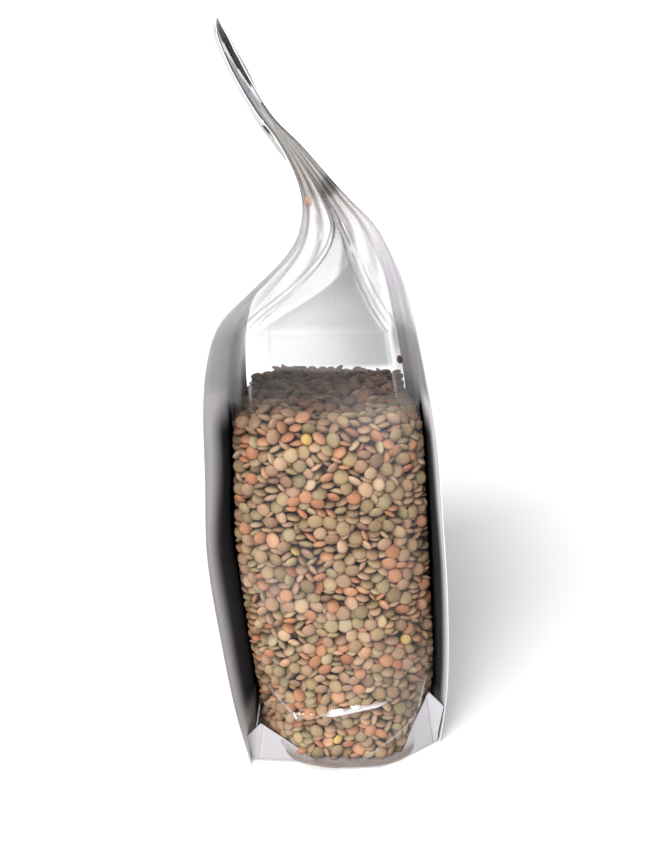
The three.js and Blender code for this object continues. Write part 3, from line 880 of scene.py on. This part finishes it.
def fold_height(x, height):
    """How far the pressed folds lift the film at a place, and how white its creases and painted highlights
    make it there.
    """
    lift, milk = 0.0, 0.0
    for start, end, out, width, whiteness_and_highlight in BOTTOM_FOLDS:
        t, distance = along_line(x, height, start, end)
        ends = smooth(-0.08, 0.2, t) * smooth(1.08, 0.8, t)
        lift += out * bell(distance, width) * ends
        milk = max(milk, whiteness_and_highlight * math.exp(-(distance / (0.5 * width * (0.4 + ends))) ** 4) * ends)
    return lift, milk


def film_painted_shade(side, share, height, bend, edge, furrow):
    """How much painted shade and reflection grey the film: in the gable, along the pleats' furrows and
    beside the panels.
    """
    in_gable = smooth(edge + 0.09, edge - 0.06, abs(share))
    in_gable *= smooth(175, 178.5, height) * smooth(230, 222, height)
    if side > 0:
        return 0.22 * in_gable
    # Painted greyest at the right of the bend, as shade seen through to the far side, and clear at its left
    foot = mix(0.4, 0.93, smooth(-0.3, 0.6, share))
    above_bend = 0.6 * smooth(0.02, 0.14, share)
    below_bend = mix(0.55, 0.86, smooth(-0.35, 0.5, share))
    at_bend = mix(above_bend, below_bend, smooth(-1.0, 0.6, bend))
    painted_grey = max(mix(foot, at_bend, smooth(186, 192, height)) * in_gable, 0.2 * furrow)
    for place, width in ((0.1, 0.035), (0.2, 0.025)):
        band = bell(abs(share) - edge - place, width)
        painted_grey = max(painted_grey, 0.4 * band * smooth(186, 194, height) * smooth(240, 226, height))
    # Between the fill and the shoulder the film is painted grey as a reflection of the panels' inner faces
    beside_panel = smooth(158, 168, height) * smooth(200, 184, height)
    painted_grey = max(painted_grey, 0.6 * beside_panel * smooth(0.74, 0.86, share))
    return max(painted_grey, 0.42 * beside_panel * smooth(-0.84, -0.93, share))


def film_form(side, across, height, seed):
    """A place on a clear side's film, how creased it is and how much painted grey it carries, with across
    past 1 on the fins.
    """
    share = max(-1.0, min(1.0, across))
    y_wall = film_reach_curve(height) * (1 - film_fall(height))
    inset = mix(0.9, -0.85, smooth(200, 245, height))
    left, right = wall_x(FRONT, y_wall, height) + inset, wall_x(BACK, y_wall, height) - inset
    reach = film_reach_curve(height) * (1 - film_fall(height) * abs(share) ** FALL_POWER)
    x = mix(left, right, (share + 1) / 2)
    crease_and_highlight = 0.0
    painted_highlight = 0.0
    free = smooth(1.0, 0.9, abs(share))
    # Over the lentils the film is pressed by them from inside
    pressed = smooth(2, 10, height) * smooth(160, 148, height) * free
    reach += pressed * 0.28 * noise.noise(Vector((x / 5.6, height / 5.2, seed)))
    reach += 0.5 * free * noise.noise(Vector((x / 22, height / 30, seed + 4)))
    if height < FOLDS_TOP:
        lift, milk = fold_height(x, height)
        reach += lift * free * smooth(0, 3, height + 1.5)
        crease_and_highlight = milk * free
    # The gable: a middle triangle that leans inwards between two creases that meet at the apex
    rise = (height - SHOULDER_HEIGHT) / (APEX_HEIGHT - SHOULDER_HEIGHT)
    edge = FOLD_SPAN * (1 - min(max(rise, 0.0), 1.0))
    bend = (share + FOLD_SPAN) * 30 - rise * 49
    if 0 < rise < 1:
        width = mix(0.03, 0.1, rise)
        reach -= FOLD_DEPTH * rise * smooth(edge + width, edge, abs(share))
        # The gable's creases are whitened: the film's own milkiness with a painted highlight
        crease_and_highlight = max(crease_and_highlight, 0.7 * bell(abs(share) - edge - width, 0.02))
        reach -= 2.2 * smooth(0, 16, -bend) * smooth(edge, edge - 0.12, abs(share))
        # A painted highlight along the bend: the film is cleared there so the white room shows through
        painted_highlight = bell(bend, 0.8) * smooth(edge, edge - 0.1, abs(share))
        painted_highlight *= smooth(0.15, -0.05, share)
    elif rise >= 1:
        # Above the apex the folds meet, and in the header the film's end is drawn back between the panels
        reach -= 5 * bell(share, 0.1) * smooth(250, APEX_HEIGHT, height)
        reach -= 2 * (1 - abs(share)) * smooth(262, 270, height)
    # Pleats that spread from the neck over both shoulders
    gather = smooth(190, 220, height) * smooth(256, 232, height) * smooth(1.0, 0.86, abs(share))
    outside = smooth(0.02, 0.12, abs(share) - edge)
    pleat = math.sin(share * 15 + 0.6 * math.sin(height / 14 + seed)) + 0.35 * math.sin(share * 31 + seed)
    reach += gather * outside * pleat
    ridged = 0.3 + 0.12 * gather * max(0.0, pleat) ** 2
    crease_and_highlight = max(crease_and_highlight, outside * smooth(170, 198, height) * ridged)
    furrow = gather * outside * max(0.0, -pleat) ** 2
    shade_and_smudge_veil = film_painted_shade(side, share, height, bend, edge, furrow)
    if side < 0:
        # A painted reflection: a milky patch on the near side's upper right
        crease_and_highlight = max(crease_and_highlight, 0.06 * bell(x - 19, 13) * bell(height - 160, 7))
        # Painted glints: the film is cleared along each line
        for start, end in PAINTED_GLINTS:
            distance = along_line(x, height, start, end, 0.0, 1.0)[1]
            painted_highlight = max(painted_highlight, bell(distance, PAINTED_GLINT_WIDTH))
        shade_and_smudge_veil *= 1 - painted_highlight
        crease_and_highlight -= 1.2 * painted_highlight
    shade_and_smudge_veil = max(shade_and_smudge_veil, 0.8 * bell(x - SMUDGE_X, 2.6) * bell(height - SMUDGE_HEIGHT, 3.2))
    # The film is clear over the lentil that is caught in the neck
    crease_and_highlight -= 1.1 * bell(x - CAUGHT_X, 2.4) * bell(height - CAUGHT_HEIGHT, 3.0)
    shoulder_pleat = bell(abs(share) - 0.84, 0.035) * smooth(176, 192, height) * smooth(228, 206, height)
    reach += 1.3 * shoulder_pleat
    crease_and_highlight = max(crease_and_highlight, 0.5 * shoulder_pleat)
    # An upright ridge below each corner of the gable
    ridge = bell(abs(share) - 0.77, 0.012) * smooth(160, 168, height) * smooth(191, 184, height)
    reach += 0.35 * ridge
    crease_and_highlight = max(crease_and_highlight, 0.25 * ridge)
    y = reach
    beyond = abs(across) - 1
    if beyond > 0:
        # The fin: the film's edge lies on the inside of the panel, out to the panel's own edge
        panel = BACK if across > 0 else FRONT
        t = beyond / (FIN_SHARE - 1)
        y = mix(reach, panel_half_width(panel, height) - 0.8, t)
        hold = mix(left, right, (panel + 1) / 2)
        on_panel = panel_x(panel, y, height) - panel * (PANEL_FILM / 2 + 0.25)
        x = mix(hold, on_panel, smooth(0, 0.25, t))
        shade_and_smudge_veil *= mix(1.0, 0.4 if panel == BACK else 0.0, t)
        crease_and_highlight = mix(crease_and_highlight, -0.9 * smooth(172, 150, height), smooth(0, 0.2, t))
    return x, side * y, height, crease_and_highlight, shade_and_smudge_veil


def clear_film(name, haze):
    """Clear glossy film: it mirrors a little, more edge-on, is milky where it is creased or gathered,
    whitened by painted highlights, and greyed by painted shade and reflection.
    """
    material, tree, shader = new_material(name)
    up = share_along(tree, "Z", 0, HEIGHT)
    painted_grey = stored_value(tree, "shade_and_smudge")
    creased_and_highlit = stored_value(tree, "creased_and_highlit")
    # Painted by height: brown at the foot as a reflection of the lentils, and brown-grey in the neck and
    # header, the gathered film's own dullness with painted shade between the panels
    tint_with_painted_shade = ramp_node(
        tree, up, (0.0, (0.27, 0.21, 0.17)), (0.02, (0.27, 0.21, 0.17)), (0.035, (0.86, 0.85, 0.86)),
        (0.55, (0.86, 0.84, 0.85)), (0.7, (0.88, 0.86, 0.88)), (0.795, (0.88, 0.85, 0.85)),
        (0.835, (0.55, 0.51, 0.48)), (0.88, (0.37, 0.35, 0.33)), (0.93, (0.3, 0.3, 0.33)), (0.97, 0.36),
    )
    grey_share = ramp_node(tree, painted_grey, (0.0, 0.0), (0.4, 0.85), (0.9, 1.0))
    greyed = blend_node(tree, grey_share, tint_with_painted_shade, (0.16, 0.155, 0.15, 1))
    white_share = ramp_node(tree, creased_and_highlit, (0.62, 0.0), (0.8, 0.8))
    whitened = blend_node(tree, white_share, greyed, (0.86, 0.86, 0.86, 1))
    feed(tree, shader.inputs["Base Color"], whitened)
    feed(tree, shader.inputs["Roughness"], ramp_node(tree, painted_grey, (0.0, 0.07), (0.35, 0.45)))
    bump_node(tree, noise_node(tree, 90, detail=4, stretch=(1, 1, 0.5)), shader, 0.14, 0.4)
    # How much it mirrors, and how milky its height, creases and painted highlights, patches of haze and
    # stored painted grey make it
    edge_on = add_node(tree, "ShaderNodeLayerWeight", Blend=0.2).outputs["Facing"]
    mirror = math_node(tree, "MULTIPLY_ADD", math_node(tree, "POWER", edge_on, 2), 0.8, 0.028)
    gathered = ramp_node(
        tree, up, (0.0, 0.8), (0.01, 0.68), (0.023, 0.0), (0.64, 0.0), (0.76, 0.08), (0.815, 0.45),
        (0.87, 0.62), (0.94, 0.6),
    )
    patches = ramp_node(tree, noise_node(tree, 22, detail=2).outputs["Fac"], (0.5, 0.0), (0.75, haze))
    milk = math_node(tree, "ADD", math_node(tree, "ADD", gathered, creased_and_highlit), patches)
    milk = math_node(tree, "MULTIPLY_ADD", painted_grey, 0.72, milk)
    feed(tree, shader.inputs["Metallic"], ramp_node(tree, milk, (0.0, 1.0), (0.12, 0.3), (0.5, 0.15)))
    clear = add_node(tree, "ShaderNodeBsdfTransparent")
    clear.inputs["Color"].default_value = (0.985, 0.985, 0.985, 1)
    blend = add_node(tree, "ShaderNodeMixShader")
    feed(tree, blend.inputs["Fac"], math_node(tree, "ADD", mirror, milk, clamp=True))
    tree.links.new(clear.outputs["BSDF"], blend.inputs[1])
    tree.links.new(shader.outputs["BSDF"], blend.inputs[2])
    tree.links.new(blend.outputs["Shader"], tree.nodes["Material Output"].inputs["Surface"])
    return material


def make_gusset(name, side, columns, rows, seed, material):
    creases_and_highlights, shade_and_smudge_veils = [], []

    def form(across, up):
        share = mix(-FIN_SHARE, FIN_SHARE, across)
        # The film's top edge slants down to the back panel and is cut in scallops
        slant = 15 * smooth(-0.9, 0.9, share) * smooth(0.9, 1.0, up)
        scallop = 2.4 * abs(math.sin(share * 5)) * smooth(0.97, 1.0, up)
        x, y, height, crease_and_highlight, shade_and_smudge_veil = film_form(side, share, mix(0.7, FILM_TOP, up) - slant + scallop, seed)
        creases_and_highlights.append(mix(max(-1.2, min(0.8, crease_and_highlight)), 1.0, smooth(0.982, 0.986, up)))
        shade_and_smudge_veils.append(shade_and_smudge_veil)
        return x, y, height

    sheet = formed_sheet(name, columns, rows, form)
    give_values(sheet, "creased_and_highlit", creases_and_highlights)
    give_values(sheet, "shade_and_smudge", shade_and_smudge_veils)
    if side > 0:
        only(sheet)
        edit_all(bpy.ops.mesh.flip_normals)
    smooth_shaded(sheet, 60)
    sheet.data.materials.append(material)
    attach(sheet, "root")
    return sheet


near_film = make_gusset("near_gusset", -1, 150, 380, 1.3, clear_film("near_clear_film", 0.07))
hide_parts("clear_gussets")
far_film = make_gusset("far_gusset", 1, 90, 220, 7.9, clear_film("far_clear_film", 0.08))
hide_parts("clear_gussets")

# The floor, the light and the camera
# A pale floor, soft daylight from the front left, two lamps above for the film's glints, and a camera at
# the photograph's height and angle, level with the bag's gable and looking a little down.

CAMERA_DISTANCE = 226.6
CAMERA_HEIGHT = 226.6
CAMERA_PITCH = 18.0
FOCAL_PIXELS = 650.0
FRAME_HEIGHT = 867.0
SENSOR = 36.0
FLOOR_SIZE = 12
FLOOR_DROP = 0.0003
FILM_LAYERS = 32

bpy.ops.object.select_all(action="DESELECT")
bpy.ops.mesh.primitive_plane_add(size=FLOOR_SIZE, location=(0, 0, -FLOOR_DROP))
floor = bpy.context.active_object
floor.name = "floor"
floor_material, tree, shader = new_material("pale_floor")
shader.inputs["Base Color"].default_value = (0.86, 0.87, 0.86, 1)
shader.inputs["Roughness"].default_value = 0.6
shader.inputs["Emission Color"].default_value = (1, 1, 1, 1)
# The sweep of the floor is brighter away from the bag, so that it ends as white as the room
from_middle = add_node(tree, "ShaderNodeTexCoord")
distance = add_node(tree, "ShaderNodeVectorMath", operation="LENGTH")
tree.links.new(from_middle.outputs["Object"], distance.inputs[0])
glow = ramp_node(tree, distance.outputs["Value"], (0.1, 0.14), (0.4, 0.34), (0.8, 0.6))
feed(tree, shader.inputs["Emission Strength"], glow)
floor.data.materials.append(floor_material)


def area_light(name, place, target, size, power):
    light = bpy.data.lights.new(name, "AREA")
    light.shape = "RECTANGLE"
    light.size, light.size_y = size
    light.energy = power
    lamp = place_in_scene(name, light)
    lamp.location = place
    lamp.rotation_euler = (Vector(target) - Vector(place)).to_track_quat("-Z", "Y").to_euler()


area_light("overhead", (-0.1, -0.5, 1.1), (0, 0, 0.15), (0.34, 0.2), 1.2)
area_light("glint", (-0.1, -0.35, 0.95), (0, 0, 0.03), (0.16, 0.05), 0.5)
window = bpy.data.lights.new("window", "SUN")
window.energy = 3.0
window.angle = math.radians(26)
window_lamp = place_in_scene("window", window)
window_lamp.rotation_euler = Vector((0.4, 0.66, -0.63)).to_track_quat("-Z", "Y").to_euler()

world = bpy.data.worlds.new("white_room")
bpy.context.scene.world = world
world.use_nodes = True
tree = world.node_tree
room = tree.nodes["Background"]
room.inputs["Color"].default_value = (0.97, 0.98, 1.0, 1)
room.inputs["Strength"].default_value = 0.33
backdrop = add_node(tree, "ShaderNodeBackground", Strength=1.35)
backdrop.inputs["Color"].default_value = (1, 1, 1, 1)
rays = add_node(tree, "ShaderNodeLightPath")
choose = add_node(tree, "ShaderNodeMixShader")
tree.links.new(rays.outputs["Is Camera Ray"], choose.inputs["Fac"])
tree.links.new(room.outputs["Background"], choose.inputs[1])
tree.links.new(backdrop.outputs["Background"], choose.inputs[2])
tree.links.new(choose.outputs["Shader"], tree.nodes["World Output"].inputs["Surface"])

camera = bpy.data.cameras.new("camera")
camera.sensor_width = SENSOR
camera.lens = FOCAL_PIXELS / FRAME_HEIGHT * SENSOR
viewer = place_in_scene("camera", camera)
viewer.location = bag_point(0, -HALF_WIDTH - CAMERA_DISTANCE, CAMERA_HEIGHT)
viewer.rotation_euler = (math.radians(90 - CAMERA_PITCH), 0, 0)
bpy.context.scene.camera = viewer
bpy.context.scene.view_settings.view_transform = "Standard"
bpy.context.scene.cycles.transparent_max_bounces = FILM_LAYERS
